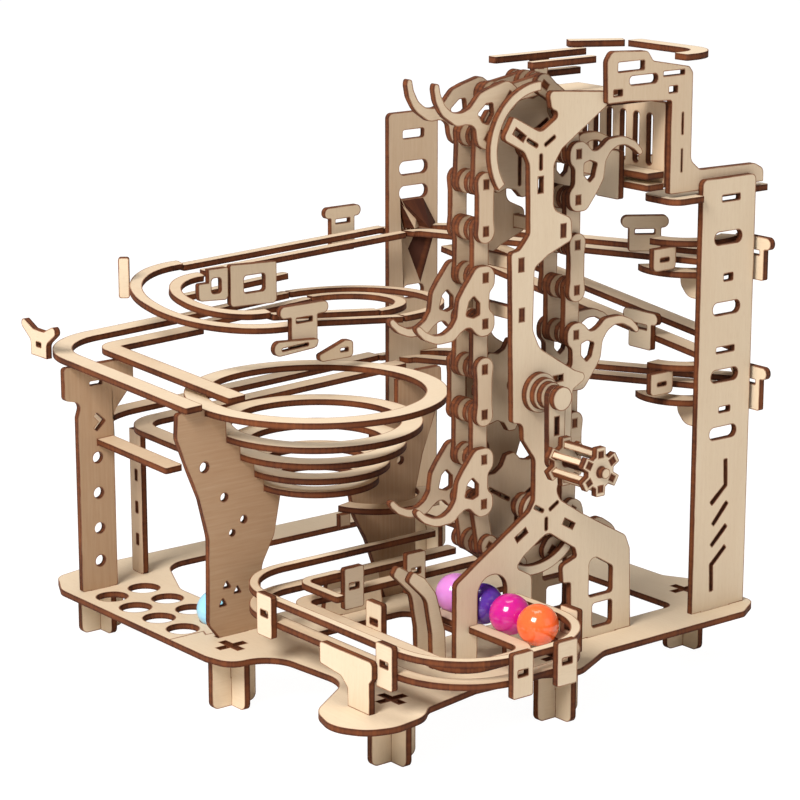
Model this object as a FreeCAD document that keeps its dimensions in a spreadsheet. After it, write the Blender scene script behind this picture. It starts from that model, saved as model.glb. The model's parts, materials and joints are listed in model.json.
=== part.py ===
import FreeCAD, Part
import math
import os
import Sketcher

# A laser-cut plywood marble run: a crank-driven bucket chain lifts marbles to a bridge, and
# they run back over two towers, a double loop, a funnel of five rings and a front lane.
# Bench axes: x = 0 near the lift's middle, y = 0 on the lift's front face, z = 0 on the table.

doc = FreeCAD.newDocument("marble_run")
V = FreeCAD.Vector

# ---------------------------------------------------------------- driving dimensions (mm)
sheet = doc.addObject("Spreadsheet::Sheet", "Dims")
DIMENSIONS = {
    "ply": 2.5,               # plywood thickness
    "base_top": 24.0,         # top of the base plate above the table
    "tower_top": 200.0,       # top of both towers
    "rail_wide": 8.0,         # width of one running rail
    "track_half": 14.0,       # half the outside width of a two-rail track
    "marble_dia": 15.8,
    "lift_x": 0.0,            # axle line of the chain lift
    "top_axle_z": 219.5,
    "crank_z": 127.5,
    "chain_pitch": 17.4,
    "chain_links": 24,
    "sprocket_teeth": 8,
    "axle_dia": 5.0,
    "running_gap": 0.06,      # radial play of an axle in its hole
    "lift_depth": 27.0,       # from the lift's front face to its rear plate
    "chain_front": 6.5,       # front face of the foremost chain plates
    "hook_spread": 15.5,      # from a front hook to its rear twin
    "funnel_x": -40.5,
    "funnel_y": 88.0,
    "ring_wide": 8.5,
    "crank_throw": 23.5,
    "grip_long": 21.3,        # length of the bars between the two handle stars
    "row_x": 2.912,           # row origin, measured in bench axes
    "row_y": 74.25,
}
for row, (name, value) in enumerate(DIMENSIONS.items(), start=1):
    sheet.set("A%d" % row, name)
    sheet.set("B%d" % row, str(value))
    sheet.setAlias("B%d" % row, name)
doc.recompute()


def dim(name):
    return float(sheet.get(name))


PLY = dim("ply")
BASE = dim("base_top")
HALF = dim("track_half")
RAIL = dim("rail_wide")
LIFT_X = dim("lift_x")
PITCH = dim("chain_pitch")
TOP_Z = dim("top_axle_z")
SPAN = PITCH * (dim("chain_links") - dim("sprocket_teeth")) / 2
LOW_Z = TOP_Z - SPAN
CRANK_Z = dim("crank_z")
PITCH_R = PITCH / (2 * math.sin(math.pi / dim("sprocket_teeth")))
AXLE_R = dim("axle_dia") / 2
BORE_R = AXLE_R + dim("running_gap")
DEPTH = dim("lift_depth")
SHIFT = V(-dim("row_x"), -dim("row_y"), 0)

# ---------------------------------------------------------------- placing plates
FLAT = FreeCAD.Rotation()
FRONT = FreeCAD.Rotation(V(1, 0, 0), V(0, 0, 1), V(0, -1, 0), "XYZ")
SIDE = FreeCAD.Rotation(V(0, 1, 0), V(0, 0, 1), V(1, 0, 0), "XYZ")


def flat(z):
    """A plate lying level, its underside at height z."""
    return FreeCAD.Placement(V(0, 0, z), FLAT)


def front(y):
    """A plate across the view from the front, its front face at y."""
    return FreeCAD.Placement(V(0, y + PLY, 0), FRONT)


def side(x):
    """A plate seen from the side, its left face at x."""
    return FreeCAD.Placement(V(x, 0, 0), SIDE)


def sloped(x, y, z, rise_x=0.0, rise_y=0.0):
    """A plane through (x, y, z) that rises along x and y, drawn from that point."""
    return FreeCAD.Placement(V(x, y, z), FreeCAD.Rotation(V(0, 0, 1), V(-rise_x, -rise_y, 1)))


# ---------------------------------------------------------------- outlines
def rounded(points):
    """Lines and arcs of a closed outline whose corners are (x, y) or (x, y, radius)."""
    corners = [(V(p[0], p[1], 0), p[2] if len(p) > 2 else 0.0) for p in points]
    count = len(corners)
    legs = [corners[(i + 1) % count][0] - corners[i][0] for i in range(count)]
    halves = [(legs[i] * -1).getAngle(legs[(i + 1) % count]) / 2 for i in range(-1, count - 1)]
    reach = [0.0 if half > math.radians(89.5) else radius / math.tan(half)
             for (corner, radius), half in zip(corners, halves)]
    shares = [min(1.0, 0.99 * leg.Length / max(reach[i] + reach[(i + 1) % count], 1e-6))
              for i, leg in enumerate(legs)]
    ends = []
    for i, (corner, radius) in enumerate(corners):
        length = reach[i] * min(shares[i - 1], shares[i])
        if length < 1e-3:
            ends.append((corner, None, corner))
            continue
        before = (legs[i - 1] * -1).normalize()
        after = V(legs[i]).normalize()
        bend = length * math.tan(halves[i])
        bisector = (before + after).normalize()
        middle = corner + bisector * (bend / math.sin(halves[i]) - bend)
        ends.append((corner + before * length, middle, corner + after * length))
    shapes = []
    for i, (start, middle, end) in enumerate(ends):
        if middle is not None:
            shapes.append(Part.Arc(start, middle, end))
        following = ends[(i + 1) % count][0]
        if (following - end).Length > 1e-4:
            shapes.append(Part.LineSegment(end, following))
    return shapes


def box(x0, y0, x1, y1, radius=0.0):
    return [(x0, y0, radius), (x1, y0, radius), (x1, y1, radius), (x0, y1, radius)]


def bar(x, y, length, width, angle=0.0, radius=0.0):
    """A slot of the given length and width, turned about its middle."""
    c, s = math.cos(math.radians(angle)), math.sin(math.radians(angle))
    corners = ((-1, -1), (1, -1), (1, 1), (-1, 1))
    return [(x + (a * length * c - b * width * s) / 2, y + (a * length * s + b * width * c) / 2, radius)
            for a, b in corners]


def polar(x, y, radius, angle):
    return V(x + radius * math.cos(math.radians(angle)), y + radius * math.sin(math.radians(angle)), 0)


def arc_band(x, y, inner, outer, start, end):
    """Part of a ring between two angles in degrees."""
    middle = (start + end) / 2
    out = [polar(x, y, outer, a) for a in (start, middle, end)]
    back = [polar(x, y, inner, a) for a in (end, middle, start)]
    return [Part.Arc(*out), Part.LineSegment(out[2], back[0]), Part.Arc(*back),
            Part.LineSegment(back[2], out[0])]


def circle(x, y, radius):
    return (x, y, radius)


def move(points, dx, dy):
    return [(p[0] + dx, p[1] + dy) + tuple(p[2:]) for p in points]


def draw(sketch, shape):
    if not isinstance(shape[0], (tuple, float, int)):
        sketch.addGeometry(shape, False)
    elif isinstance(shape, tuple):
        x, y, radius = shape
        sketch.addGeometry(Part.Circle(V(x, y, 0), V(0, 0, 1), radius), False)
    else:
        sketch.addGeometry(rounded(shape), False)


def plate(label, outline, holes=(), place=None, thick="Dims.ply"):
    """One laser-cut plate: a sketched outline with its holes, padded by the sheet's thickness."""
    body = doc.addObject("PartDesign::Body", label)
    body.Label = label
    sketch = body.newObject("Sketcher::SketchObject", label + "_outline")
    plane = [item for item in body.Origin.OriginFeatures if item.Role == "XY_Plane"][0]
    sketch.AttachmentSupport = (plane, [""])
    sketch.MapMode = "FlatFace"
    for shape in [outline] + list(holes):
        draw(sketch, shape)
    pad = body.newObject("PartDesign::Pad", label + "_pad")
    pad.Profile = sketch
    pad.setExpression("Length", thick)
    sketch.Visibility = False
    body.Placement = place or FreeCAD.Placement()
    body.Placement.Base = body.Placement.Base + SHIFT
    return body


def band(path, inner, outer, end_round=1.0):
    """The strip between two offsets of a bent path: offsets count to the left of travel."""
    def offset(distance):
        result = []
        last = len(path) - 1
        for i, point in enumerate(path):
            here = V(point[0], point[1], 0)
            radius = point[2] if len(point) > 2 else 0.0
            legs = []
            if i > 0:
                legs.append((here - V(path[i - 1][0], path[i - 1][1], 0)).normalize())
            if i < last:
                legs.append((V(path[i + 1][0], path[i + 1][1], 0) - here).normalize())
            normals = [V(-leg.y, leg.x, 0) for leg in legs]
            if len(legs) == 1:
                spot = here + normals[0] * distance
                result.append((spot.x, spot.y, end_round))
                continue
            total = normals[0] + normals[1]
            spot = here + total * (2 * distance / (total.Length ** 2))
            turn = legs[0].x * legs[1].y - legs[0].y * legs[1].x
            bend = radius - distance if turn > 0 else radius + distance
            result.append((spot.x, spot.y, max(bend, 0.5)))
        return result
    return offset(inner) + offset(outer)[::-1]


def group(label, pieces):
    """Identical or matched pieces that share one node as separate solids."""
    bundle = doc.addObject("Part::Compound", label)
    bundle.Label = label
    bundle.Links = pieces
    return bundle


def cut(label, base, tool):
    """A piece with the slots that its neighbour passes through."""
    result = doc.addObject("Part::Cut", label)
    result.Label = label
    result.Base = base
    result.Tool = tool
    return result


nodes = []


def keep(piece):
    nodes.append(piece)
    return piece


def slope_plate(label, outline, holes, spot, rise_x=0.0, rise_y=0.0):
    """A plate on a sloping plane through the bench point spot, drawn in bench x and y."""
    dx, dy = -spot[0], -spot[1]
    cuts = [(h[0] + dx, h[1] + dy, h[2]) if isinstance(h, tuple) else move(h, dx, dy) for h in holes]
    return plate(label, move(outline, dx, dy), cuts, sloped(*spot, rise_x, rise_y))


# tracks that share one node with their neighbours
PARTIAL = ("front_main", "front_pickup", "loop_upper_far", "loop_turn_left", "loop_near",
           "loop_turn_right", "loop_lower_far", "back_lane", "lower_bend", "bridge_floor")


def track(label, path, spot, rise_x=0.0, rise_y=0.0, half=HALF, rail=RAIL):
    """A pair of running rails along a bent centreline, with the marble's gap between them."""
    rails = [slope_plate(label + "_left", band(path, half - rail, half), (), spot, rise_x, rise_y),
             slope_plate(label + "_right", band(path, -half, rail - half), (), spot, rise_x, rise_y)]
    if label in PARTIAL:
        return rails
    return keep(group(label, rails))


def mirrored(points, x):
    return [(2 * x - p[0], p[1]) + tuple(p[2:]) for p in points][::-1]


# ---------------------------------------------------------------- base plates and feet
FEET = [(-89.0, 79.0), (-77.0, -6.0), (1.0, -9.0), (98.0, 21.0), (-80.0, 188.0), (98.0, 190.0)]
TAB = 12.0
TAB_DEEP = 1.0        # how far the feet's tabs stay below the base's top
SLOT_PLAY = 0.35
FOOT_WIDE = 20.6
SEAM_Y = 99.8
front_slots = []
back_slots = []


def cross(x, y):
    a, b = TAB / 2 + SLOT_PLAY, PLY / 2 + SLOT_PLAY
    return [(x - a, y - b), (x - b, y - b), (x - b, y - a), (x + b, y - a), (x + b, y - b), (x + a, y - b),
            (x + a, y + b), (x + b, y + b), (x + b, y + a), (x - b, y + a), (x - b, y + b), (x - a, y + b)]


def foot_half(label, place, notch_low, notch_high):
    w, t = FOOT_WIDE / 2, TAB / 2
    low, high = BASE - PLY, BASE - TAB_DEEP
    outline = [(-w, 0, 3), (w, 0, 3), (w, low), (t, low), (t, high), (-t, high), (-t, low), (-w, low)]
    if notch_high:
        outline = [(-w, 0, 3), (w, 0, 3), (w, low), (t, low), (t, high), (PLY / 2, high),
                   (PLY / 2, high / 2), (-PLY / 2, high / 2), (-PLY / 2, high), (-t, high), (-t, low),
                   (-w, low)]
    if notch_low:
        outline = [(-w, 0, 3), (-PLY / 2, 0), (-PLY / 2, high / 2), (PLY / 2, high / 2), (PLY / 2, 0),
                   (w, 0, 3), (w, low), (t, low), (t, high), (-t, high), (-t, low), (-w, low)]
    return plate(label, outline, (), place)


along, across = [], []
for i, (x, y) in enumerate(FEET):
    (front_slots if y < SEAM_Y else back_slots).append(cross(x, y))
    spot = FreeCAD.Placement(V(x, y + PLY / 2, 0), FRONT)
    along.append(foot_half("foot_along_%d" % i, spot, False, True))
    spot = FreeCAD.Placement(V(x - PLY / 2, y, 0), SIDE)
    across.append(foot_half("foot_across_%d" % i, spot, True, False))
keep(group("feet_along", along))
keep(group("feet_across", across))

# slots in the base for the standing plates: x, y, length, width
front_slots += [box(-88, 89.5, -74, 92), box(-7, 89.5, 6, 92), box(-40, 0, -33, PLY), box(25, 0, 40, PLY),
                box(25, DEPTH, 40, DEPTH + PLY), box(82, -5, 98, 0), box(-33, 82, -21, 84.5)]
back_slots += [box(-95, 171, -86, 173.5), box(-66, 177.5, -63.5, 182.5), box(82, 190, 90, 192.5)]

front_edge = [(-104, 75, 10), (-101, 62.5, 8), (-82.5, 61, 14), (-79, 19.5, 16), (-106.5, 1, 16),
              (-111.5, -14.5, 14), (-104, -26.5, 14), (-93, -30, 14), (-78.5, -27.5, 14), (-72, -21.5, 6),
              (-45.5, -16.5, 6), (-15.5, -18.5, 8), (-2, -26, 10), (20.5, -15, 10), (97, -15, 4),
              (109.5, -7.5, 7), (109.5, 30, 7), (104, 40, 6)]
KEY = [(-88, SEAM_Y), (-89.5, SEAM_Y - 4), (-79.5, SEAM_Y - 4), (-81, SEAM_Y)]
KEY_RIGHT = [(p[0] + 178.5, p[1]) for p in KEY]
front_plate = front_edge + [(104, SEAM_Y)] + KEY_RIGHT[::-1] + [(84, SEAM_Y)] + [
    (-65, SEAM_Y)] + KEY[::-1] + [(-104, SEAM_Y)]
openings = [[(-58, 31, 6), (-43, 34, 4), (-8, 36, 5), (-8, 71, 6), (-58, 71, 6)],
            [(48, 8, 5), (80, 8, 5), (80, 70, 6), (0, 70, 6), (0, 36, 5), (48, 34, 5)]]
keep(plate("base_front", front_plate, openings + front_slots, flat(BASE - PLY)))

parking = [circle(-92.5, y, 6.5) for y in (159, 141.5, 124.5, 107.5)]
parking += [circle(-76, y, 6.5) for y in (160.5, 143, 125.5, 108)]
back_plate = [(-104, SEAM_Y)] + KEY + [(-65, SEAM_Y), (-65, 150, 12), (-50, 182, 14), (84, 182, 6),
              (84, SEAM_Y)] + KEY_RIGHT + [(104, SEAM_Y), (104, 170, 6), (109, 182, 6), (109, 199, 8),
              (-60, 200, 6), (-72, 200, 6), (-82, 199, 9), (-96, 196, 9), (-104, 180, 9)]
keep(plate("base_back", back_plate, back_slots + parking, flat(BASE - PLY)))

# ---------------------------------------------------------------- lift side plates
lift_outline = [
    (-15.5, 232.5, 1), (-20.5, 224.5, 2), (-10, 219, 4), (-7.5, 214, 4), (-7, 188, 3), (-12, 182.5, 3),
    (-16, 182, 1.5), (-14.5, 117, 1.5), (-9.5, 116, 3), (-9, 109.5, 4), (-3, 101, 5), (-3, 85, 3),
    (-5.5, 81, 4), (-41.5, 59, 3), (-41.5, BASE), (-40, BASE), (-40, BASE - PLY), (-33, BASE - PLY),
    (-33, BASE), (-31, BASE), (-31, 52, 7), (-31, 59.5, 7), (-16.5, 59.5, 7), (-16.5, BASE),
    (-9, BASE), (-3.5, BASE, 1),
    (-4, 55.5, 3), (-12, 60, 1.5), (-8, 64, 2), (0, 69, 5), (4, 71, 4), (11, 66.5, 4), (18, 62, 2),
    (19, 58.5, 1), (11.5, 56, 2), (12, 49, 1), (16, 48.5, 1), (16.5, BASE), (25, BASE), (25, BASE - PLY),
    (40, BASE - PLY), (40, BASE), (48, BASE), (47, 56.5, 4), (44.5, 62.5, 4), (21.5, 75.5, 6), (10, 83, 4),
    (8, 87, 4), (15, 106, 8), (15.5, 125.5, 2), (24.5, 130, 2), (16.5, 133, 6), (-1.5, 144, 8),
    (-5, 151.5, 6), (-4.5, 175, 3), (2, 179, 5), (14, 183.5, 2), (13.5, 192, 3), (4.5, 196, 4),
    (4.5, 213, 3), (8.5, 218.5, 3), (30.5, 232.5, 1), (30.5, 238, 1), (1.5, 240.5, 2), (3, 233.5, 3),
    (8.5, 232, 2), (-2, 225.5, 4)]
AXLES = [circle(LIFT_X, LOW_Z, BORE_R), circle(LIFT_X, TOP_Z, BORE_R)]
CRANK_X = LIFT_X - 2.5
lift_slots = [bar(-12.5, 225.5, 6, PLY, -35), bar(-2, 206, 2.5, 6), bar(9.6, 187.5, PLY, 5),
              bar(-11, 177, PLY, 5), bar(-10.5, 158, PLY, 5), bar(8, 131, 5, PLY), bar(14.5, 72.5, 6, PLY, -30),
              bar(-9.5, 72.5, 6, PLY, 30)]
windows = [[(25.5, 40.5, 1.5), (38, 40.5, 1.5), (38, 51, 2), (25.5, 58.5, 3)],
           [(27.5, 27.5, 1.5), (38, 27.5, 1.5), (38, 37.5, 1.5), (27.5, 37.5, 1.5)]]


def star_slits(x, z, reach):
    """Three thin slits that meet like a Y around a point."""
    slits = []
    for angle in (30, 150, 270):
        spot = polar(x, z, reach * 0.62, angle)
        slits.append(bar(spot.x, spot.y, reach * 0.75, 1.4, angle, 0.6))
    return slits


crank_hole = circle(CRANK_X, CRANK_Z, BORE_R)
keep(plate("lift_front", lift_outline,
           lift_slots + windows + star_slits(-2, TOP_Z, 8) + star_slits(3, 79, 7) + [crank_hole], front(0)))
leg_start = lift_outline.index((-5.5, 81, 4)) + 1
leg_end = lift_outline.index((-8, 64, 2))
rear_outline = lift_outline[:leg_start] + [(-14, 76, 3), (-14, 64, 2)] + lift_outline[leg_end:]
keep(plate("lift_rear", rear_outline, lift_slots[:6] + windows + AXLES + [crank_hole], front(DEPTH)))
cross_ties = [(-10.5, 158, PLY, 5), (-11, 177, PLY, 5), (9.6, 187.5, PLY, 5)]
ties = []
for i, (x, z, wide, tall) in enumerate(cross_ties):
    tie = plate("tie_%d" % i, bar(x, z, wide, tall), (), front(DEPTH), "Dims.lift_depth + Dims.ply")
    ties.append(tie)
keep(group("lift_ties", ties))

GUIDE_Y = PLY
guides = [plate("guide_top", arc_band(LIFT_X, TOP_Z, 21, 24.5, 90, 215), (), front(GUIDE_Y)),
          plate("guide_bottom", arc_band(LIFT_X, LOW_Z, 22, 26, 228, 318), (), front(GUIDE_Y))]
keep(group("chain_guides", guides))
bearing = []
for i, z in enumerate((TOP_Z, LOW_Z)):
    bearing.append(plate("bearing_%d" % i, circle(LIFT_X, z, 7), [circle(LIFT_X, z, BORE_R)], front(GUIDE_Y)))
bearing.append(plate("crank_bearing", circle(CRANK_X, CRANK_Z, 7.7), [circle(CRANK_X, CRANK_Z, BORE_R)],
                     front(-PLY)))
keep(group("axle_bearings", bearing))

fork = [(-57, 61, 1.5), (-54.5, 64.5, 1.5), (-49, 61, 3), (-43.5, 54, 8), (-39, 38, 8), (-38.5, BASE),
        (-45, BASE), (-45.5, 38, 8), (-48, 52, 8), (-53, 57, 3)]
forks = [plate("fork_near", fork, (), front(9.4)), plate("fork_far", fork, (), front(18.6))]
keep(group("pickup_fork", forks))

# ---------------------------------------------------------------- chain
FIRST_PIN = 207.4
TEETH = int(dim("sprocket_teeth"))
LINKS = int(dim("chain_links"))
RUN = LINKS // 2 - TEETH // 2
STEP = 360.0 / TEETH
WRAP = 211.5


def pin_spots():
    """Centres of the chain pins, in the order the chain climbs, turns over and comes down."""
    spots = [(LIFT_X - PITCH_R, FIRST_PIN - PITCH * k) for k in range(RUN)]
    spots += [tuple(polar(LIFT_X, LOW_Z, PITCH_R, WRAP + STEP * k))[:2] for k in range(TEETH // 2)]
    spots += [(LIFT_X + PITCH_R, 92.4 + PITCH * k) for k in range(RUN)]
    spots += [tuple(polar(LIFT_X, TOP_Z, PITCH_R, WRAP - 180 + STEP * k))[:2] for k in range(TEETH // 2)]
    return spots


def turned(x, y, z, angle):
    """A front plate turned about the point (x, z), its front face at y."""
    return FreeCAD.Placement(V(x, y + PLY, z), FreeCAD.Rotation(V(0, -1, 0), angle) * FRONT)


PINS = pin_spots()
PIN_LONG = 3.4
PIN_WIDE = 2.4
EYE = 4.6
outer, inner, hooks_near, hooks_far, pins, spacers = [], [], [], [], [], []
link_shape = [(-EYE, -EYE, 4.5), (4, -3.6, 6), (PITCH - 4, -3.6, 6), (PITCH + EYE, -EYE, 4.5),
              (PITCH + EYE, EYE, 4.5), (PITCH - 4, 3.6, 6), (4, 3.6, 6), (-EYE, EYE, 4.5)]
hook_shape = [(PITCH + EYE, 4.2, 4), (PITCH + EYE, -EYE, 4.5), (14, -4.4, 4), (11.8, -1.9, 3), (5.2, -1.9, 3),
              (3.2, -4.4, 4), (-EYE, -EYE, 4.5), (-4.8, 2, 3), (-3.3, 4.3, 3), (-0.6, 7, 2.5), (-0.6, 9.4, 3),
              (-2, 12, 4), (-4.6, 15, 5), (-4.9, 23.1, 10), (-2.4, 28.8, 6), (0.7, 32.1, 2), (2.9, 33.2, 1),
              (3.5, 31.2, 1), (0.9, 28.3, 5), (-1.2, 24.1, 6), (-1.4, 19.9, 6), (0.7, 16.1, 5), (4.1, 13.7, 4),
              (10.8, 12.8, 5), (14.9, 10, 5)]
hook_window = [(11.3, 5.6, 0.8), (8.3, 2.7, 0.8), (3.8, 2.7, 0.8), (3, 5.6, 0.8), (4.3, 9.4, 0.8), (9.4, 8, 0.8)]
NEAR = dim("chain_front")
FAR = NEAR + dim("hook_spread")
INNER_NEAR = NEAR + PLY + 0.2
INNER_FAR = FAR - PLY - 0.2
SPACER_NEAR = INNER_NEAR + PLY - 0.1
SPACER_FAR = INNER_FAR - PLY - 0.1
for k in range(LINKS):
    x, z = PINS[(k + 1) % LINKS]
    x2, z2 = PINS[k]
    heading = math.degrees(math.atan2(z2 - z, x2 - x))
    if k % 2:
        eyes = [circle(0, 0, 2.2), circle(PITCH, 0, 2.2)]
        inner.append(plate("inner_near_%d" % k, link_shape, eyes, turned(x, INNER_NEAR, z, heading)))
        inner.append(plate("inner_far_%d" % k, link_shape, eyes, turned(x, INNER_FAR, z, heading)))
        continue
    eyes = [bar(0, 0, PIN_LONG, PIN_WIDE), bar(PITCH, 0, PIN_LONG, PIN_WIDE)]
    if k % 4 == 2:
        hooks_near.append(plate("hook_near_%d" % k, hook_shape, eyes + [hook_window],
                                turned(x, NEAR, z, heading)))
        hooks_far.append(plate("hook_far_%d" % k, hook_shape, eyes + [hook_window],
                               turned(x, FAR, z, heading)))
    else:
        outer.append(plate("outer_near_%d" % k, link_shape, eyes, turned(x, NEAR, z, heading)))
        outer.append(plate("outer_far_%d" % k, link_shape, eyes, turned(x, FAR, z, heading)))
    for n, (px, pz) in enumerate(((x, z), (x2, z2))):
        place = FreeCAD.Placement(V(px, FAR + PLY, pz), FreeCAD.Rotation(V(0, -1, 0), heading) * FRONT)
        pins.append(plate("pin_%d_%d" % (k, n), bar(0, 0, PIN_LONG, PIN_WIDE), (), place,
                          "Dims.hook_spread + Dims.ply"))
        for side_name, y in (("near", SPACER_NEAR), ("far", SPACER_FAR)):
            place = FreeCAD.Placement(V(px, y + PLY, pz), FreeCAD.Rotation(V(0, -1, 0), heading) * FRONT)
            spacers.append(plate("spacer_%s_%d_%d" % (side_name, k, n), circle(0, 0, EYE),
                                 [bar(0, 0, PIN_LONG, PIN_WIDE)], place, "Dims.ply - 0.2"))
keep(group("chain_inner_links", inner))
keep(group("chain_outer_links", outer))
keep(group("lift_hooks", hooks_near + hooks_far))
keep(group("chain_pins", pins))
keep(group("chain_spacers", spacers))

# ---------------------------------------------------------------- axles, sprockets and crank
def toothed(x, z, tip, root, phase):
    points = []
    for k in range(TEETH):
        for angle, radius, bend in ((-7, root, 2), (7, root, 2), (17, tip, 1.2), (28, tip, 1.2)):
            spot = polar(x, z, radius, phase + k * STEP + angle)
            points.append((spot.x, spot.y, bend))
    return points


def disc(label, x, z, radius, y, bore=AXLE_R, thick="Dims.ply"):
    return plate(label, circle(x, z, radius), [circle(x, z, bore)], front(y), thick)


def axle(label, x, z, start, end):
    rod = doc.addObject("Part::Cylinder", label)
    rod.Label = label
    rod.setExpression("Radius", "Dims.axle_dia / 2")
    rod.Height = end - start
    rod.Placement = FreeCAD.Placement(V(x, start, z) + SHIFT, FreeCAD.Rotation(V(1, 0, 0), -90))
    return rod


WHEEL_Y = NEAR + (dim("hook_spread") + PLY) / 2 - PLY / 2      # middle plane of the chain
for name, z, phase in (("top", TOP_Z, WRAP), ("bottom", LOW_Z, WRAP)):
    keep(plate(name + "_sprocket", toothed(LIFT_X, z, 20.6, 17.4, phase),
               [circle(LIFT_X, z, AXLE_R)] + star_slits(LIFT_X, z, 16), front(WHEEL_Y)))
    rod = axle(name + "_rod", LIFT_X, z, GUIDE_Y + 0.1, DEPTH + 2 * PLY + 1)
    spacers = [disc("%s_spacer_0" % name, LIFT_X, z, 5, 9.0), disc("%s_spacer_1" % name, LIFT_X, z, 5, 18.6),
               disc("%s_spacer_2" % name, LIFT_X, z, 6, DEPTH + PLY + 0.3)]
    keep(group(name + "_axle", [rod] + spacers))

keep(plate("drive_sprocket", toothed(CRANK_X, CRANK_Z, 18.2, 15, 22.5), [circle(CRANK_X, CRANK_Z, AXLE_R)],
           front(WHEEL_Y)))
rod = axle("crank_rod", CRANK_X, CRANK_Z, -14.5, DEPTH + 2 * PLY + 1)
washers = [disc("crank_washer_%d" % i, CRANK_X, CRANK_Z, r, y)
           for i, (r, y) in enumerate(((6.2, -5.3), (5.2, -8.1), (4.6, -14.5), (6, DEPTH + PLY + 0.3)))]
keep(group("crank_shaft", [rod] + washers))
THROW = dim("crank_throw")
HANDLE_Z = CRANK_Z - THROW
arm = [(CRANK_X - 4.4, CRANK_Z + 4.4, 4.3), (CRANK_X - 3.8, HANDLE_Z - 4.4, 3.7),
       (CRANK_X + 3.8, HANDLE_Z - 4.4, 3.7), (CRANK_X + 4.4, CRANK_Z + 4.4, 4.3)]
arm_holes = [circle(CRANK_X, CRANK_Z, AXLE_R), circle(CRANK_X, HANDLE_Z, 2.0),
             bar(CRANK_X, CRANK_Z - 11, 2.2, 7)]
arm_plate = plate("crank_arm_plate", arm, arm_holes, front(-11.4))
handle_pin = doc.addObject("Part::Cylinder", "handle_pin")
handle_pin.Radius = 2.0
handle_pin.Height = 30.0
handle_pin.Placement = FreeCAD.Placement(V(CRANK_X, -38.9, HANDLE_Z) + SHIFT,
                                         FreeCAD.Rotation(V(1, 0, 0), -90))
keep(group("crank_arm", [arm_plate, handle_pin]))


def star(x, z, tip, root, points):
    shape = []
    for k in range(points):
        for angle, radius in ((-0.22, tip), (0.22, tip), (0.36, root), (0.64, root)):
            spot = polar(x, z, radius, (k + angle) * 360 / points + 90)
            shape.append((spot.x, spot.y, 0.5))
    return shape


STAR_POINTS = 6
stars = []
for name, y in (("handle_star_rear", -17.2), ("handle_star_front", -36.0)):
    sockets = [bar(*tuple(polar(CRANK_X, HANDLE_Z, 6.6, k * 60 + 90))[:2], 2.4, 2.4, k * 60 + 90)
               for k in range(STAR_POINTS)]
    stars.append(plate(name, star(CRANK_X, HANDLE_Z, 9.6, 6.4, STAR_POINTS),
                       [circle(CRANK_X, HANDLE_Z, 2.06)] + sockets, front(y)))
keep(group("handle_stars", stars))
grips = []
for k in range(STAR_POINTS):
    spot = polar(CRANK_X, HANDLE_Z, 6.6, k * 60 + 90)
    place = FreeCAD.Placement(V(0, -14.7, 0), FRONT)
    grips.append(plate("grip_%d" % k, bar(spot.x, spot.y, 2.4, 2.4, k * 60 + 90), (), place, "Dims.grip_long"))
keep(group("handle_grips", grips))

# ---------------------------------------------------------------- funnel
FX, FY = dim("funnel_x"), dim("funnel_y")
RINGS = [(51.9, 114.3), (42.1, 102.2), (35.6, 94.0), (29.1, 86.2), (24.7, 79.7)]
WIDE = dim("ring_wide")
for i, (radius, z) in enumerate(RINGS, start=1):
    keep(plate("funnel_ring_%d" % i, circle(FX, FY, radius), [circle(FX, FY, radius - WIDE)], flat(z)))
steps = []
for i in range(len(RINGS) - 1, -1, -1):
    radius, z = RINGS[i]
    inner_x = FX - RINGS[i + 1][0] if i + 1 < len(RINGS) else FX - radius + WIDE
    steps += [(inner_x, z), (FX - radius, z)]
support = [(-75, BASE), (-69, BASE), (-66.5, 50, 10), (-60.5, 61, 6)] + steps + [
    (FX - RINGS[0][0], 117.0, 1), (-105, 117.0, 1.5), (-105.5, 107, 4), (-100, 92.5, 10), (-95.5, 81.5, 8),
    (-91.5, 65, 20), (-92, 30, 4), (-87.5, BASE), (-86, BASE), (-86, BASE - PLY), (-75, BASE - PLY)]
decor = [circle(-93, 94, 2.2), circle(-84, 80.5, 1.8), circle(-75, 70, 1.6), circle(-80.5, 65.5, 1.5),
         [(-85.5, 43.5, 0.4), (-81.5, 43.5, 0.4), (-83.5, 47, 0.4)],
         [(-80.5, 40.5, 0.4), (-76.5, 40.5, 0.4), (-78.5, 44, 0.4)],
         [(-87.5, 36.5, 0.4), (-83.5, 36.5, 0.4), (-85.5, 40, 0.4)]]
SUPPORT_Y = 89.5
supports = [plate("funnel_support_left", support, decor, front(SUPPORT_Y))]
right_leg = mirrored(support, FX)
right_leg = [p for p in right_leg if p[1] >= BASE]
upper_part = [p for p in right_leg if p[0] > 4 or p[1] > BASE]
right_leg = [(-5, BASE - PLY), (4, BASE - PLY), (4, BASE)] + upper_part
right_leg += [(-5, BASE)]
supports.append(plate("funnel_support_right", right_leg, [circle(12, 94, 2.2), circle(3, 80.5, 1.8)],
                      front(SUPPORT_Y)))
keep(group("funnel_supports", supports))
exit_arms = [plate("exit_rail", arc_band(-5.5, 95, 17.5, 25, 195, 345), (), flat(65)),
             plate("exit_arm_left", box(-32, 60, -27, 65), (), front(84)),
             plate("exit_arm_right", box(14, 60, 19, 65), (), front(84))]
keep(group("funnel_exit", exit_arms))

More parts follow.
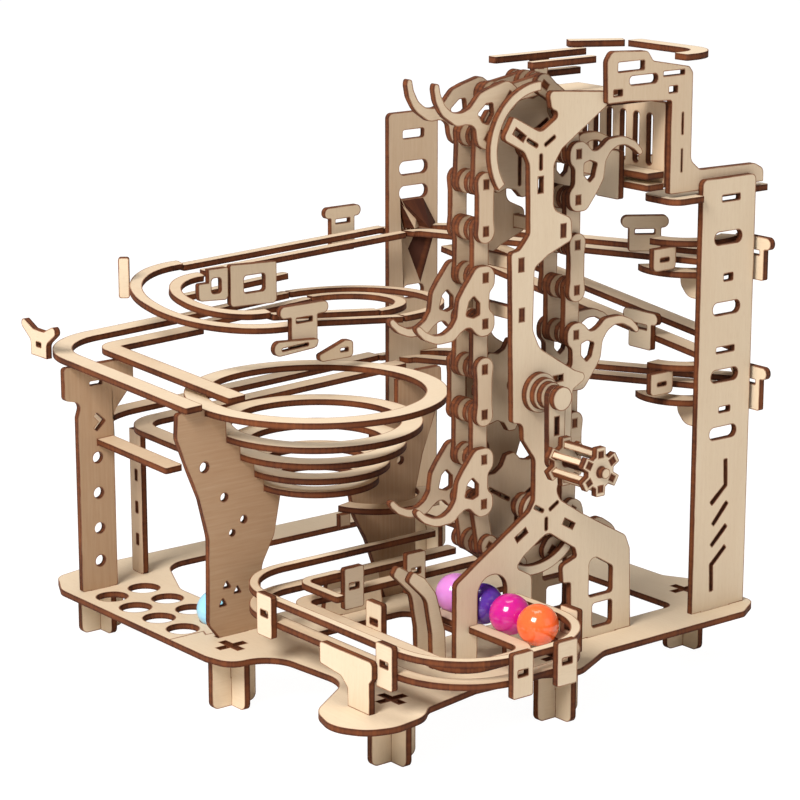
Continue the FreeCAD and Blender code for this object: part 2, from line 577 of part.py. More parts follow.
# ---------------------------------------------------------------- front track
RUN_Z = 39.0
GUARD_Z = 47.5
GUARD = 4.5
LANE_X, LANE_Y, LEFT_X, NEAR_Y = -23.75, 73.8, -77.0, -43.0
FRONT_HALF = 12.0
FRONT_RAIL = FRONT_HALF - HALF + RAIL      # keeps the same gap under the marbles
FRONT_GUARD = 3.7
path = [(25, LANE_Y), (LEFT_X, LANE_Y, 16), (LEFT_X, NEAR_Y, 20), (LANE_X, NEAR_Y, 18), (LANE_X, -0.1)]
front_rails = track("front_main", path, (0, 0, RUN_Z), 0, 0, FRONT_HALF, FRONT_RAIL)
guard_path = [(16, LANE_Y)] + path[1:4] + [(LANE_X, -0.1)]
inner_corner = [(-48, LANE_Y), (LEFT_X, LANE_Y, 16), (LEFT_X, 38)]
inner_band = band(inner_corner, FRONT_HALF - FRONT_GUARD, FRONT_HALF)
outer_band = band(guard_path, -FRONT_HALF, FRONT_GUARD - FRONT_HALF)
guards = [plate("front_guard_corner", inner_band, (), flat(GUARD_Z)),
          plate("front_guard_outer", outer_band, (), flat(GUARD_Z))]
keep(group("front_guards", guards))
front_rails += track("front_pickup", [(LANE_X, PLY + 0.1), (LANE_X, DEPTH - 0.1)], (0, 0, RUN_Z),
                     0, 0, FRONT_HALF, FRONT_RAIL)
keep(group("front_track", front_rails))


def clip(label, u, place):
    """A small upright plate that holds a running rail and the guard above it."""
    outline = [(u - 4.8, RUN_Z - 4, 1), (u + 4.8, RUN_Z - 4, 1), (u + 4.8, GUARD_Z + 4.5, 1),
               (u - 4.8, GUARD_Z + 4.5, 1)]
    return plate(label, outline, [box(u - 2.4, 43, u + 2.4, 45.5, 0.4)], place)


edge_left, edge_near = LEFT_X - FRONT_HALF, NEAR_Y - FRONT_HALF
back_edge = LANE_Y - FRONT_HALF - PLY
clips = [clip("clip_%d" % i, u, place) for i, (u, place) in enumerate((
    (53.5, side(edge_left - PLY)), (-20, side(edge_left - PLY)), (-58, front(edge_near - PLY)),
    (-37, front(edge_near - PLY)), (-30, side(LANE_X + FRONT_HALF)), (-13, front(back_edge)),
    (-44, front(back_edge)), (20, side(LEFT_X + FRONT_HALF))))]
keep(group("front_clips", clips))
post = [(-14.8, BASE), (-2, BASE), (-1.8, 31, 2), (2, 34.5, 2), (15, 36, 1), (15, 44.5, 1.5), (-16.4, 44.5, 2),
        (-16.4, 38, 1), (-14.8, 36)]
posts = [plate("track_post", post, (), side(edge_left - 2 * PLY - 0.1))]
lane_support = [(-33, BASE - PLY), (-21, BASE - PLY), (-21, BASE), (-12, BASE, 2), (-14, RUN_Z),
                (-40, RUN_Z), (-42, BASE, 2), (-33, BASE)]
posts.append(plate("lane_support", lane_support, (), front(82)))
keep(group("lane_supports", posts))

# ---------------------------------------------------------------- left track and lower-left track
LOOP_FAR, LOOP_NEAR, LOOP_R = 188.5, 124.5, 32.0
LOOP_LEFT, LOOP_RIGHT = -31.0, 25.0       # where the loop's half turns begin
LOOP_HALF = 10.5
LOOP_RAIL = 5.0
COLUMN_Y = 171.0
exit_spot = (-89.5, COLUMN_Y, 120.9)
track("left_track", [(-33.8, LOOP_FAR), (-89.5, LOOP_FAR, 15), (-89.5, 86)], exit_spot, 0.04, 0.0376)
marks = [box(-93, 110.5, -87, 112.3, 0.6), [(-90, 99, 0.5), (-86, 95, 0.5), (-90, 91, 0.5), (-91.5, 92.5, 0.4),
         (-89, 95, 0.4), (-91.5, 97.5, 0.4)]] + [circle(-90, z, 2.4) for z in (80, 65, 50, 36)]
column = [(-95, BASE - PLY), (-86, BASE - PLY), (-86, BASE), (-82, BASE, 1), (-82, 98, 8), (-74, 107, 3),
          (-72, 108, 1), (-72, 119.5, 1.5), (-105, 119.5, 1.5), (-105, 106, 2), (-97, 104, 3), (-99, 98, 3),
          (-99, BASE, 1), (-95, BASE)]
yclip = [(-6, 0), (6, 0), (6, 6, 3), (13, 11, 2), (13, 15, 2), (4, 11, 3), (-4, 11, 3), (-13, 15, 2),
         (-13, 11, 2), (-6, 6, 3)]
corner = plate("corner_clip", yclip, [bar(0, 5, 4, 2, 0, 0.5)],
               FreeCAD.Placement(V(-106.1, 188, 121.5), SIDE))
lower = [(-36.6, 192), (-76, 192, 22), (-76, 121)]
lower_rails = track("lower_bend", lower, (-76, 180, 86.0), 0.035, 0.03)
blank = plate("left_column_blank", column, marks, front(COLUMN_Y))
keep(cut("left_column", blank, group("column_crossing", lower_rails)))
keep(plate("small_column", [(177.5, BASE - PLY), (182.5, BASE - PLY), (182.5, BASE), (184.5, BASE, 1),
                            (184.5, 85.9), (176, 85.9), (176, BASE, 1), (177.5, BASE)],
           [box(179, z, 181, z + 5, 0.5) for z in (36, 50, 64)], side(-66)))

# ---------------------------------------------------------------- upper double loop
A_Z, B_Z = 150.4, 127.5
SLIM = (LOOP_HALF, LOOP_RAIL)
upper_far = [(77, LOOP_FAR), (LOOP_LEFT + 0.4, LOOP_FAR)]
upper_rails = track("loop_upper_far", upper_far, (77, LOOP_FAR, A_Z), 0.037, 0, *SLIM)
turn_left = [(LOOP_LEFT, LOOP_FAR), (LOOP_LEFT - LOOP_R, LOOP_FAR, LOOP_R),
             (LOOP_LEFT - LOOP_R, LOOP_NEAR, LOOP_R), (LOOP_LEFT, LOOP_NEAR)]
upper_rails += track("loop_turn_left", turn_left, (LOOP_LEFT, LOOP_FAR, 146.3), 0.0, 0.16, *SLIM)
upper_rails += track("loop_near", [(LOOP_LEFT + 0.4, LOOP_NEAR), (LOOP_RIGHT - 0.4, LOOP_NEAR)],
                     (LOOP_LEFT, LOOP_NEAR, 136.1), -0.1, 0, *SLIM)
turn_right = [(LOOP_RIGHT, LOOP_NEAR), (LOOP_RIGHT + LOOP_R, LOOP_NEAR, LOOP_R),
              (LOOP_RIGHT + LOOP_R, LOOP_FAR, LOOP_R), (LOOP_RIGHT, LOOP_FAR)]
keep(group("loop_upper", upper_rails))
second_rails = track("loop_turn_right", turn_right, (LOOP_RIGHT, LOOP_NEAR, 130.4), 0.0, -0.04, *SLIM)
lower_far = [(LOOP_RIGHT - 0.4, LOOP_FAR), (-33.4, LOOP_FAR)]
second_rails += track("loop_lower_far", lower_far, (LOOP_RIGHT, LOOP_FAR, B_Z), 0.052, 0, *SLIM)
keep(group("loop_lower", second_rails))
high_guards = [slope_plate("loop_guard_lower", band(lower_far, -LOOP_HALF, GUARD - LOOP_HALF), (),
                           (LOOP_RIGHT, LOOP_FAR, B_Z + 8.5), 0.052)]
LINK_Y = LOOP_FAR - LOOP_HALF - PLY - 0.1
links = [plate("loop_link_0", [(-20, 132.5, 2), (4, 131.5, 2), (4, 149.5, 1), (-20, 150.5, 1)],
               [box(-13, 137.5, -2, 145, 1.5)], front(LINK_Y)),
         plate("loop_link_1", [(-36, 137, 2), (-21, 136, 2), (-21, 150, 1), (-30.9, 150),
                               (-30.9, 144.4), (-36, 144.4, 1)],
               [box(-29.5, 139.5, -24.5, 146, 1.5)], front(LINK_Y))]
keep(group("track_guards", high_guards))
CENTRE_Y = (LOOP_FAR + LOOP_NEAR) / 2
END_TURN = FreeCAD.Placement(V(LOOP_LEFT, CENTRE_Y, 0), FreeCAD.Rotation(V(0, 0, 1), 141.5) * FRONT)
END_AT = LOOP_R + LOOP_HALF + 0.7
end_clip = plate("loop_end_clip", box(END_AT, 141, END_AT + 4.5, 158, 1), (), END_TURN)


def t_clip(label, u, top, place, drop=20.0, head=10.0):
    """A T-shaped clip with a broad head above the rail and a stem down to it."""
    outline = [(u - head, top - 5, 2.4), (u - head, top, 2.4), (u + head, top, 2.4), (u + head, top - 5, 2.4),
               (u + 6.5, top - 5, 0.6), (u + 6.5, top - drop, 1), (u - 6.5, top - drop, 1),
               (u - 6.5, top - 5, 0.6)]
    return plate(label, outline, [box(u - 4, top - 7.5, u + 4, top - 5.5, 0.4)], place)


loop_edge = LOOP_NEAR - LOOP_HALF - PLY
TURNED = FreeCAD.Placement(V(78, 28.5, 0), FreeCAD.Rotation(V(0, 0, 1), -34) * FRONT)
t_clips = [t_clip("t_clip_0", -28.6, 146, front(loop_edge), 18.5, 12),
           t_clip("t_clip_1", 60, 163, front(LOOP_FAR + HALF)),
           t_clip("t_clip_2", 0, 182, TURNED, 14.5, 9.5),
           t_clip("t_clip_3", -2, 174.5, side(108.1), 17.5),
           t_clip("t_clip_4", 29, 143, side(80 - PLY - 0.1), 15.5),
           t_clip("t_clip_5", -2, 122, side(108.1), 18)]
keep(group("track_clips", t_clips + [corner, end_clip]))
BRACE_Y = loop_edge - PLY
brace = [(-45.4, 126.5, 3), (-23.5, 128, 4), (-23.5, 131.5, 1), (-45.4, 133, 3)]
wedge = [(-23, 121.5, 2), (-6, 121.5, 2), (-6, 128.5, 2), (-10, 129, 2), (-23, 124.5, 1)]
links.append(plate("loop_near_brace", brace,
                   [bar(-35, 129.6, 13, 1.2, 3, 0.5)], front(BRACE_Y)))
links.append(plate("loop_near_wedge", wedge,
                   [bar(-10.5, 125, 4, 1.6, 0, 0.5)], front(BRACE_Y)))
keep(group("loop_links", links))

# ---------------------------------------------------------------- switchbacks and towers
SIDE_X = 94.0
upper_path = [(SIDE_X, -2.1), (SIDE_X, LOOP_FAR, 16), (77.4, LOOP_FAR)]
switch_1 = track("switch_upper", upper_path, (SIDE_X, 0, 165.7), 0, -0.083)
switch_2 = track("switch_middle", [(SIDE_X, -2.1), (SIDE_X, 160)], (SIDE_X, 0, 128.4), 0, 0.116)
low_path = [(SIDE_X, -2.1), (SIDE_X, 192, 16), (77.4, 192)]
switch_3 = track("switch_lower", low_path, (SIDE_X, 0, 115.8), 0, -0.125)
lower_rails += track("back_lane", [(77, 192), (-36.2, 192)], (77, 192, 91.2), 0.035)
keep(group("lower_track", lower_rails))
TOWER_TOP = dim("tower_top")
LEVEL_DROP = 50.0       # between the upper and the lower set of end pieces
ends = []
for name, drop in (("upper", 0.0), ("lower", LEVEL_DROP)):
    tray_z = 160.0 - drop - (1.8 if drop else 0.0)
    ends.append(plate("end_tray_" + name, arc_band(92, 18, 11, 20, 150, 380), (), flat(tray_z)))
    ends.append(plate("end_guard_" + name, arc_band(92, 20, 15, 22, 188, 300), (), flat(172.5 - drop)))
    post = [(64, 163.5 - drop, 2), (76, 163.5 - drop, 2), (76, 172.5 - drop), (64, 172.5 - drop)]
    ends.append(plate("end_post_" + name, post, [box(67.5, 167 - drop, 72.5, 168.6 - drop, 0.6)], front(8)))
    rib = [(-2.3, tray_z), (14.2, tray_z), (13.6, tray_z - 5, 4), (9.5, tray_z - 9.3, 6), (-2.3, tray_z - 9.3)]
    ends.append(plate("end_rib_" + name, rib, (), side(84.5)))
keep(group("tower_crescents", ends))


def tower(left, right, top, tab_left, tab_right):
    return [(left, BASE), (tab_left, BASE), (tab_left, BASE - PLY), (tab_right, BASE - PLY),
            (tab_right, BASE), (right, BASE), (right, top, 2.5), (left, top, 2.5)]


tower_windows = [box(84.2, z, 99, z + 5.0, 2.4) for z in (173.6, 145.4, 118.2, 94.8)]
tower_windows += [box(87.7, 190.5, 97.5, 193, 0.5), box(89.7, 158.8, 94.7, 161.7, 0.5),
                  box(86.7, 130, 96.7, 132.4, 0.5), box(89.1, 105.6, 95.2, 107.9, 0.5)]
strokes = [band([(93.6, 85.9), (94.1, 75.1), (86.2, 68.6)], -0.9, 0.9, 0.4),
           band([(95.2, 67.8), (87.4, 59.6)], -0.9, 0.9, 0.4),
           band([(95.0, 58.2), (86.9, 50.9)], -0.9, 0.9, 0.4),
           band([(94.8, 49.4), (87.2, 42.9), (87.6, 31.8)], -0.9, 0.9, 0.4)]
keep(plate("right_tower", tower(77, 106, TOWER_TOP, 82, 98), tower_windows + strokes, front(-5)))
back_windows = [box(82, 176, 98, 182, 2.8), box(82, 165, 98, 171, 2.8), box(84, 192, 96, 196, 1),
                box(84, 120, 96, 126, 2.8), box(84, 60, 96, 66, 2.8)]
crossing = group("tower_crossing", [switch_1, switch_3])
blank = plate("back_tower_blank", tower(76, 104, 204, 82, 90), back_windows, front(190))
keep(cut("back_tower", blank, crossing))

# ---------------------------------------------------------------- bridge from the lift to the tower
PANEL_LOW = 195.8
panel = [(28.5, 233.5, 1), (28, 249.5, 3), (30.5, 253, 3), (48.5, 252, 3), (51.5, 248, 2), (70.5, 244.5, 2),
         (72.5, 242, 2), (72.5, 208, 4), (77.5, 204, 4), (107.5, 203.5, 3), (112.5, 201, 3), (112.5, PANEL_LOW),
         (61.5, PANEL_LOW, 1), (61.5, 232, 1), (40, 233.5, 1)]
panel_holes = [box(33.5, 245, 47, 248.6, 0.6), box(39.5, 239.5, 54, 243, 1.6), box(31.5, 236, 36, 238.5, 0.4),
               box(60, 235, 64.5, 237.5, 0.4), box(57, 241.6, 68, 243.4, 0.3),
               box(67.2, 218.5, 68, 227, 0.3), box(67.2, 204, 68, 213, 0.3)]
panels = [plate("bridge_panel_front", panel, panel_holes, front(-PLY))]
rear_panel = [(58, PANEL_LOW, 2), (58, 230, 2), (72, 230, 2), (72, 205, 4), (78, 202, 3), (112, 200, 3),
              (112, PANEL_LOW, 2)]
REAR_Y = 50.0
panels.append(plate("bridge_panel_rear", rear_panel, [box(64, 212, 69, 222, 2)], front(REAR_Y)))
keep(group("bridge_panels", panels))
grille = [box(y, 206, y + 3.4, 226, 1.6) for y in (7, 14.5, 22, 29.5, 37, 43.5)]
keep(plate("bridge_grille", box(0.1, 198, REAR_Y - 0.1, 231, 1), grille, side(61)))
bridge_path = [(31, 15.25), (60.8, 15.25)]
floors = track("bridge_floor", bridge_path, (31, 0, 232.0))
floor_end = [(33, 30, 2), (60.9, 30, 2), (60.9, REAR_Y - 0.1), (45, REAR_Y - 0.1, 4)]
floors.append(plate("bridge_floor_end", floor_end, (), flat(231.2)))
top_rails = [plate("top_rail_near", box(-4, 3, 28, 6.5, 1), (), flat(248.5)),
             plate("top_rail_far", box(-4, 24, 42, 28.5, 1), (), flat(248.5)),
             plate("top_rail_mid", box(14, 27, 42, 31, 1), (), flat(241))]
guard_band = band([(66, -2, 0), (84, -2, 14), (84, 43)], -3.6, 3.6, 1)
top_rails.append(plate("bridge_guard", guard_band, (), flat(247)))
top_rails.append(plate("bridge_stop", bar(48, 26, 22, 6, -30, 1), (), flat(251.1)))
HANG_X = 16.0
hanger = [(HANG_X, 241, 1), (HANG_X + 6, 241, 1), (HANG_X + 7, 248.5), (HANG_X - 1, 248.5)]
top_rails.append(plate("rail_hanger", hanger, [box(HANG_X + 1.5, 245, HANG_X + 4.5, 246.6, 0.4)],
                       front(24.4)))
keep(group("bridge_top_rails", top_rails))
beams = [plate("beam_high", box(52, 0.1, 60.9, 22, 0.5), (), flat(202.1)),
         plate("beam_low", box(52, 0.1, 60.9, 22, 0.5), (), flat(197.5)),
         plate("bridge_board", box(13, 193, 26, 212, 1), (), side(49.5))]
keep(group("bridge_braces", beams))
landing = [(60.5, -7, 5), (76, -7, 0.5), (76, -2.3, 0.5), (104, -2.3, 1), (116, -2.3, 1), (116, 3, 1),
           (104, 6, 3), (84, 10, 8), (76, 16, 6), (60.5, 12, 6)]
floors.append(plate("bridge_landing", landing, (), flat(191.8)))
keep(group("bridge_floor_rails", floors))

# ---------------------------------------------------------------- marbles
MARBLE_R = dim("marble_dia") / 2
REST_Z = RUN_Z + PLY + math.sqrt(MARBLE_R ** 2 - (HALF - RAIL) ** 2)
PARK_R = 6.5
PARK_Z = BASE + math.sqrt(MARBLE_R ** 2 - PARK_R ** 2)
PITCH_Y = 15.9
spots = [("orange", LANE_X, -26.2, REST_Z), ("magenta", LANE_X, -10.3, REST_Z),
         ("purple", LANE_X, 5.65, REST_Z), ("pink", LANE_X, 21.55, REST_Z), ("blue", -76, 108, PARK_Z)]
for name, x, y, z in spots:
    ball = doc.addObject("Part::Sphere", "marble_" + name)
    ball.Label = "marble_" + name
    ball.setExpression("Radius", "Dims.marble_dia / 2")
    ball.Placement.Base = V(x, y, z + 0.02) + SHIFT
    keep(ball)

# ---------------------------------------------------------------- check and write
doc.recompute()
for item in doc.Objects:
    if "Invalid" in item.State or "Error" in item.State:
        raise RuntimeError("%s did not build: %s" % (item.Label, item.State))
os.makedirs("parts", exist_ok=True)
for piece in nodes:
    shape = piece.Shape
    if shape.isNull() or not shape.isValid():
        raise RuntimeError("%s is not a sound solid" % piece.Label)
    shape.exportStep("parts/%s.step" % piece.Label)
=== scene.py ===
import json
import math
import random
import bmesh
import bpy
from mathutils import Euler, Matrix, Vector


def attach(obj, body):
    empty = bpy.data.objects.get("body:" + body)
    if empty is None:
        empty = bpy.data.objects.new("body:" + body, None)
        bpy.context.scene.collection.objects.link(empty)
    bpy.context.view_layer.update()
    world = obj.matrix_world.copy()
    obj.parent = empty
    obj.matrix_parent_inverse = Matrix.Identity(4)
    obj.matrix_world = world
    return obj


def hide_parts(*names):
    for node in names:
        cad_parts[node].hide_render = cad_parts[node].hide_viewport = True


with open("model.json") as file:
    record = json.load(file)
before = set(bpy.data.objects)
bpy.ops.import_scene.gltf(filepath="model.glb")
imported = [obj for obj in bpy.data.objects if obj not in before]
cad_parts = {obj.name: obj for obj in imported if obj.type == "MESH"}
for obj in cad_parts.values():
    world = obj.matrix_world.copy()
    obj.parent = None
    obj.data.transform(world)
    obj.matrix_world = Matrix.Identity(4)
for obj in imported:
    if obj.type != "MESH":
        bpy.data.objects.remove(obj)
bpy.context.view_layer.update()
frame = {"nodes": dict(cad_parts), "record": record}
MM = 0.001


# ---------------------------------------------------------------- shader maths
class Value:
    """A shader socket that takes part in Python arithmetic."""

    def __init__(self, tree, socket):
        self.tree = tree
        self.socket = socket

    def _maths(self, operation, first, second):
        node = self.tree.nodes.new("ShaderNodeMath")
        node.operation = operation
        for entry, value in zip(node.inputs, (first, second)):
            if isinstance(value, Value):
                self.tree.links.new(value.socket, entry)
            else:
                entry.default_value = value
        return Value(self.tree, node.outputs[0])

    def __add__(self, other):
        return self._maths("ADD", self, other)

    def __radd__(self, other):
        return self._maths("ADD", other, self)

    def __sub__(self, other):
        return self._maths("SUBTRACT", self, other)

    def __rsub__(self, other):
        return self._maths("SUBTRACT", other, self)

    def __mul__(self, other):
        return self._maths("MULTIPLY", self, other)

    def __rmul__(self, other):
        return self._maths("MULTIPLY", other, self)

    def above(self, other):
        return self._maths("GREATER_THAN", self, other)

    def least(self, other):
        return self._maths("MINIMUM", self, other)


class Finish:
    """A material under construction: its nodes are added one call at a time."""

    def __init__(self, name, **constants):
        self.material = bpy.data.materials.new(name)
        self.material.use_nodes = True
        self.tree = self.material.node_tree
        self.shader = self.tree.nodes["Principled BSDF"]
        for socket, value in constants.items():
            self.shader.inputs[socket.replace("_", " ")].default_value = value

    def node(self, kind, settings=None, output=0, **entries):
        node = self.tree.nodes.new(kind)
        for key, value in (settings or {}).items():
            setattr(node, key, value)
        for key, value in entries.items():
            place = int(key[1:]) if key[1:].isdigit() else key.replace("_", " ")
            socket = node.inputs[place]
            if isinstance(value, Value):
                self.tree.links.new(value.socket, socket)
            else:
                socket.default_value = value
        return Value(self.tree, node.outputs[output])

    def blend(self, share, first, second):
        first = (*first, 1) if isinstance(first, tuple) else first
        second = (*second, 1) if isinstance(second, tuple) else second
        return self.node("ShaderNodeMix", {"data_type": "RGBA"}, 2, i0=share, i6=first, i7=second)

    def feed(self, socket, value):
        self.tree.links.new(value.socket, self.shader.inputs[socket])


# ---------------------------------------------------------------- finishes
FACE_PALE = (0.67, 0.55, 0.40)
FACE_WARM = (0.56, 0.41, 0.265)
# painted shade: the darker brown given to whole parts that sit in shade
PAINTED_SHADE_TAN = (0.37, 0.225, 0.125)
FACE_FLECK = (0.42, 0.25, 0.13)
CUT_DARK = (0.045, 0.011, 0.004)
CUT_LIT = (0.22, 0.064, 0.018)
SCORCH = (0.20, 0.062, 0.021)
SHEET_MIDDLE = 1.25     # millimetres in from the sheet's face to its middle ply


def birch_face():
    """The pale veneer of the sheet, with fine grain along its first coordinate, and painted shade: a darker
    brown laid over the parts that sit in shade.
    """
    finish = Finish("birch_face", Roughness=0.62)
    where = finish.node("ShaderNodeUVMap", {"uv_map": "sheet"})
    tone = finish.node("ShaderNodeAttribute", {"attribute_name": "tone"}, 2)
    grain_at = finish.node("ShaderNodeMapping", Vector=where, Scale=(0.05, 0.9, 1))
    grain = finish.node("ShaderNodeTexNoise", None, 0, Vector=grain_at, Scale=1.0, Detail=4.0, Roughness=0.6)
    cloud_at = finish.node("ShaderNodeMapping", Vector=where, Scale=(0.012, 0.04, 1))
    cloud = finish.node("ShaderNodeTexNoise", None, 0, Vector=cloud_at, Scale=1.0, Detail=2.0)
    fleck_at = finish.node("ShaderNodeMapping", Vector=where, Scale=(0.25, 2.4, 1))
    fleck = finish.node("ShaderNodeTexNoise", None, 0, Vector=fleck_at, Scale=1.0, Detail=1.0)
    warmth = (grain - 0.5) * 0.55 + (cloud - 0.5) * 0.9 + tone * 0.35 + 0.12
    colour = finish.blend(warmth, FACE_PALE, FACE_WARM)
    colour = finish.blend((fleck - 0.62).above(0.0) * 0.10, colour, FACE_FLECK)
    # painted shade: each node's share of darker brown, standing in for the shade those parts sit in
    tan = finish.node("ShaderNodeAttribute", {"attribute_name": "tan"}, 2)
    colour = finish.blend(tan * (grain * 0.5 + 0.75), colour, PAINTED_SHADE_TAN)
    finish.feed("Base Color", colour)
    bump = finish.node("ShaderNodeBump", None, 0, Strength=0.12, Distance=0.0002, Height=grain)
    finish.feed("Normal", bump)
    return finish.material


def scorched_rim():
    """The narrow browned line that the laser leaves on the veneer along every cut."""
    finish = Finish("scorched_rim", Roughness=0.68)
    where = finish.node("ShaderNodeUVMap", {"uv_map": "sheet"})
    patch_at = finish.node("ShaderNodeMapping", Vector=where, Scale=(0.12, 0.12, 1))
    patch = finish.node("ShaderNodeTexNoise", None, 0, Vector=patch_at, Scale=1.0, Detail=2.0)
    finish.feed("Base Color", finish.blend((patch - 0.35) * 1.6, SCORCH, FACE_WARM))
    return finish.material


def burnt_cut():
    """The laser-cut edge: charred outer plies with a slightly lighter core."""
    finish = Finish("burnt_cut", Roughness=0.8)
    finish.shader.inputs["Specular IOR Level"].default_value = 0.25
    where = finish.node("ShaderNodeUVMap", {"uv_map": "sheet"})
    split = finish.node("ShaderNodeSeparateXYZ", None, 1, Vector=where)
    streak_at = finish.node("ShaderNodeMapping", Vector=where, Scale=(0.55, 0.05, 1))
    streak = finish.node("ShaderNodeTexNoise", None, 0, Vector=streak_at, Scale=1.0, Detail=3.0)
    depth = split - SHEET_MIDDLE
    core = 1.0 - (depth * depth * 1.1).least(1.0)
    patch_at = finish.node("ShaderNodeMapping", Vector=where, Scale=(0.04, 0.04, 1))
    patch = finish.node("ShaderNodeTexNoise", None, 0, Vector=patch_at, Scale=1.0, Detail=1.0)
    share = core * 0.35 + (streak - 0.5) * 0.8 + (patch - 0.5) * 1.1 + 0.1
    finish.feed("Base Color", finish.blend(share, CUT_DARK, CUT_LIT))
    return finish.material


def marble_finish(name, colour, deep):
    """Polished pearly plastic with a faint swirl."""
    finish = Finish(name, Roughness=0.16, IOR=1.5)
    finish.shader.inputs["Coat Weight"].default_value = 0.5
    finish.shader.inputs["Coat Roughness"].default_value = 0.05
    finish.shader.inputs["Subsurface Weight"].default_value = 0.15
    finish.shader.inputs["Subsurface Scale"].default_value = 0.004
    where = finish.node("ShaderNodeTexCoord", None, 3)
    swirl = finish.node("ShaderNodeTexNoise", None, 0, Vector=where, Scale=90.0, Detail=2.0, Distortion=1.5)
    finish.feed("Base Color", finish.blend(swirl * 0.5, colour, deep))
    return finish.material


FACE = birch_face()
CUT = burnt_cut()
RIM = scorched_rim()
RIM_WIDE = 0.38 * MM


# ---------------------------------------------------------------- plywood pieces
PAINTED_SHADE_DEFAULT = 0.05
PAINTED_SHADE_BY_NODE = {      # how far each node's sheet is darkened from pale birch towards brown: painted shade for the parts that sit in shade
    "funnel_supports": 0.9, "left_column": 0.85, "small_column": 0.6, "back_tower": 0.5,
    "bridge_panels": 0.25, "bridge_grille": 0.45, "lift_rear": 0.45, "chain_inner_links": 0.4,
    "chain_outer_links": 0.3, "lift_hooks": 0.2, "chain_spacers": 0.5, "top_sprocket": 0.45,
    "bottom_sprocket": 0.45, "lift_ties": 0.5, "loop_upper": 0.25, "loop_lower": 0.35,
    "left_track": 0.2, "lower_track": 0.35, "funnel_exit": 0.4, "tower_crescents": 0.3,
    "front_track": 0.25, "switch_upper": 0.3, "switch_middle": 0.3, "switch_lower": 0.3}


def loose_parts(bm):
    """The separate plates within one mesh, each as a list of faces."""
    unseen = set(bm.faces)
    parts = []
    while unseen:
        first = next(iter(unseen))
        unseen.discard(first)
        part, waiting = [first], [first]
        while waiting:
            face = waiting.pop()
            for edge in face.edges:
                for other in edge.link_faces:
                    if other in unseen:
                        unseen.discard(other)
                        part.append(other)
                        waiting.append(other)
        parts.append(part)
    return sorted(parts, key=lambda part: tuple(round(c, 6) for c in part_middle(part)))


def part_middle(part):
    total = Vector((0, 0, 0))
    for face in part:
        total += face.calc_center_median() * face.calc_area()
    return total / sum(face.calc_area() for face in part)


def sheet_normal(part):
    """The direction through the plywood: the one that most of the area faces."""
    areas = {}
    for face in part:
        n = face.normal
        if max(n, key=abs) < 0:
            n = -n
        key = tuple(round(c, 1) for c in n)
        total, sums = areas.get(key, (0.0, Vector((0, 0, 0))))
        areas[key] = (total + face.calc_area(), sums + n * face.calc_area())
    return max(areas.values(), key=lambda entry: entry[0])[1].normalized()


def plywood(node, body):
    """A finished copy of a plywood node: burnt cut edges, grain along each sheet and its own tone."""
    source = frame["nodes"][node]
    bm = bmesh.new()
    bm.from_mesh(source.data)
    bmesh.ops.remove_doubles(bm, verts=bm.verts, dist=1e-6)
    bm.normal_update()
    sheet = bm.loops.layers.uv.new("sheet")
    tone = bm.faces.layers.float.new("tone")
    tan = bm.faces.layers.float.new("tan")
    chance = random.Random(node)
    for part in loose_parts(bm):
        through = sheet_normal(part)
        across = through.cross(Vector((0, 0, 1)))
        across = Vector((1, 0, 0)) if across.length < 0.5 else across.normalized()
        up = through.cross(across)
        grain, side = (across, up) if chance.random() < 0.5 else (up, across)
        shade = chance.uniform(-0.5, 0.5)
        offset = chance.uniform(0, 400)
        low = min(through.dot(v.co) for face in part for v in face.verts)
        veneer = [face for face in part if abs(face.normal.dot(through)) > 0.8]
        inset = bmesh.ops.inset_region(bm, faces=veneer, thickness=RIM_WIDE, use_even_offset=True,
                                       use_boundary=True)
        rim = set(inset["faces"])
        for face in list(rim) + part:
            flat = face in rim or abs(face.normal.dot(through)) > 0.8
            face.material_index = 2 if face in rim else 0 if flat else 1
            face[tone] = shade
            # painted shade: this node's share of the darker brown
            face[tan] = PAINTED_SHADE_BY_NODE.get(node, PAINTED_SHADE_DEFAULT)
            along = through.cross(face.normal)
            for loop in face.loops:
                spot = loop.vert.co
                if flat:
                    loop[sheet].uv = (grain.dot(spot) / MM + offset, side.dot(spot) / MM + offset)
                else:
                    loop[sheet].uv = (along.dot(spot) / MM + offset, (through.dot(spot) - low) / MM)
    mesh = bpy.data.meshes.new(node + "_ply")
    bm.to_mesh(mesh)
    bm.free()
    piece = bpy.data.objects.new(node + "_ply", mesh)
    bpy.context.scene.collection.objects.link(piece)
    mesh.materials.append(FACE)
    mesh.materials.append(CUT)
    mesh.materials.append(RIM)
    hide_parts(node)
    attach(piece, body)


MARBLES = {
    "marble_orange": ((1.0, 0.16, 0.035), (0.8, 0.07, 0.02)),
    "marble_magenta": ((0.60, 0.008, 0.27), (0.38, 0.003, 0.16)),
    "marble_purple": ((0.11, 0.03, 0.36), (0.05, 0.012, 0.2)),
    "marble_pink": ((0.72, 0.27, 0.70), (0.5, 0.14, 0.5)),
    "marble_blue": ((0.36, 0.70, 0.92), (0.2, 0.55, 0.85)),
}
bodies = frame["record"]["behaviour"]["bodies"]
for body, nodes in bodies.items():
    for node in nodes:
        if node not in MARBLES:
            plywood(node, body)
for node, (colour, deep) in MARBLES.items():
    owner = frame["nodes"][node]
    owner.material_slots[0].material = marble_finish(node + "_gloss", colour, deep)


# ---------------------------------------------------------------- floor, light and camera
FLOOR_GLOW = 1.15       # the white that the camera sees on the floor
FLOOR_SHARE = 0.84      # how far that white covers the floor's own colour and shadow
WORLD_LIGHT = 0.27


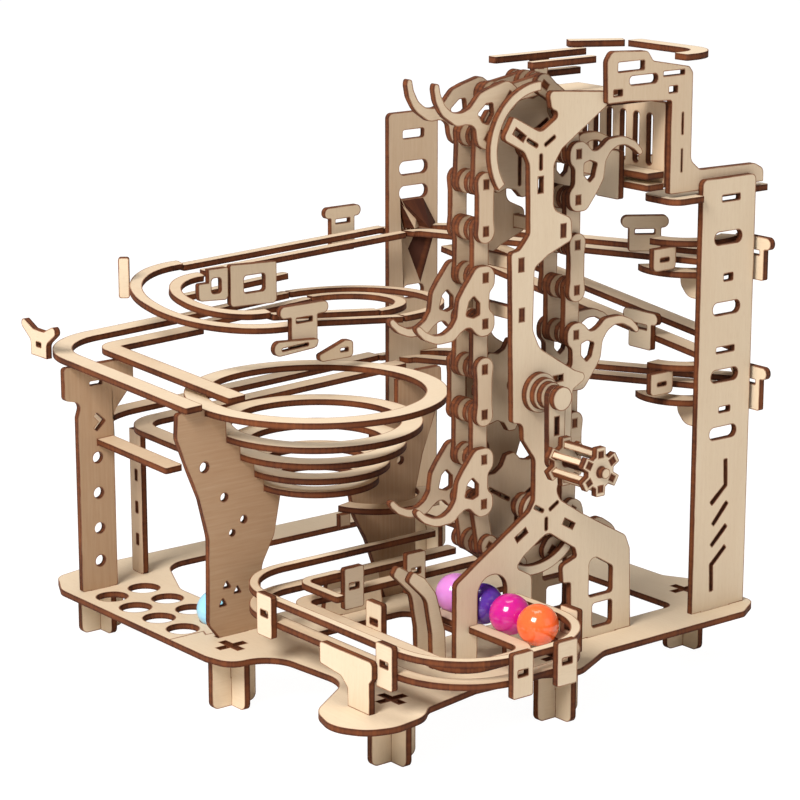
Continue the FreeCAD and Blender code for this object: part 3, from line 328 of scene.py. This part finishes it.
def add_floor():
    bm = bmesh.new()
    bmesh.ops.create_grid(bm, x_segments=1, y_segments=1, size=6.0)
    mesh = bpy.data.meshes.new("floor")
    bm.to_mesh(mesh)
    bm.free()
    floor = bpy.data.objects.new("floor", mesh)
    bpy.context.scene.collection.objects.link(floor)
    finish = Finish("floor_paper", Roughness=0.9)
    finish.shader.inputs["Base Color"].default_value = (0.86, 0.85, 0.84, 1)
    finish.shader.inputs["Specular IOR Level"].default_value = 0.1
    tree = finish.tree
    rays = tree.nodes.new("ShaderNodeLightPath")
    glow = tree.nodes.new("ShaderNodeEmission")
    glow.inputs["Strength"].default_value = FLOOR_GLOW
    mix = tree.nodes.new("ShaderNodeMixShader")
    share = Value(tree, rays.outputs["Is Camera Ray"]) * FLOOR_SHARE
    tree.links.new(share.socket, mix.inputs[0])
    tree.links.new(finish.shader.outputs[0], mix.inputs[1])
    tree.links.new(glow.outputs[0], mix.inputs[2])
    tree.links.new(mix.outputs[0], tree.nodes["Material Output"].inputs["Surface"])
    floor.data.materials.append(finish.material)


def add_lamp(name, place, target, size, watts, colour=(1, 1, 1)):
    lamp = bpy.data.lights.new(name, "AREA")
    lamp.shape = "SQUARE"
    lamp.size = size
    lamp.energy = watts
    lamp.color = colour
    holder = bpy.data.objects.new(name, lamp)
    holder.location = place
    holder.rotation_euler = (Vector(target) - Vector(place)).to_track_quat("-Z", "Y").to_euler()
    bpy.context.scene.collection.objects.link(holder)


def set_world():
    world = bpy.data.worlds.new("studio")
    world.use_nodes = True
    tree = world.node_tree
    tree.nodes.clear()
    out = tree.nodes.new("ShaderNodeOutputWorld")
    rays = tree.nodes.new("ShaderNodeLightPath")
    soft = tree.nodes.new("ShaderNodeBackground")
    soft.inputs["Color"].default_value = (1.0, 0.985, 0.96, 1)
    soft.inputs["Strength"].default_value = WORLD_LIGHT
    seen = tree.nodes.new("ShaderNodeBackground")
    seen.inputs["Color"].default_value = (1, 1, 1, 1)
    seen.inputs["Strength"].default_value = 1.0
    mix = tree.nodes.new("ShaderNodeMixShader")
    tree.links.new(rays.outputs["Is Camera Ray"], mix.inputs[0])
    tree.links.new(soft.outputs[0], mix.inputs[1])
    tree.links.new(seen.outputs[0], mix.inputs[2])
    tree.links.new(mix.outputs[0], out.inputs["Surface"])
    bpy.context.scene.world = world


add_floor()
set_world()
add_lamp("key", (-1.5, -0.55, 1.5), (0, 0, 0.1), 0.8, 60, (1.0, 0.965, 0.92))
add_lamp("fill", (0.6, -1.8, 0.9), (0, 0, 0.1), 1.2, 3.5, (1.0, 0.98, 0.96))
add_lamp("top", (0.1, 0.3, 1.8), (0, 0, 0.1), 1.0, 13)

AZIMUTH, ELEVATION = math.radians(38.42), math.radians(14.12)
camera_data = bpy.data.cameras.new("camera")
camera_data.sensor_width = 36.0
camera_data.lens = 123.47
camera_data.clip_end = 20.0
camera = bpy.data.objects.new("camera", camera_data)
camera.location = (-0.667712, -0.82635, 0.376)
camera.rotation_euler = Euler((math.pi / 2 - ELEVATION, 0, -AZIMUTH), "XYZ")
bpy.context.scene.collection.objects.link(camera)
bpy.context.scene.camera = camera
bpy.context.scene.view_settings.view_transform = "Standard"
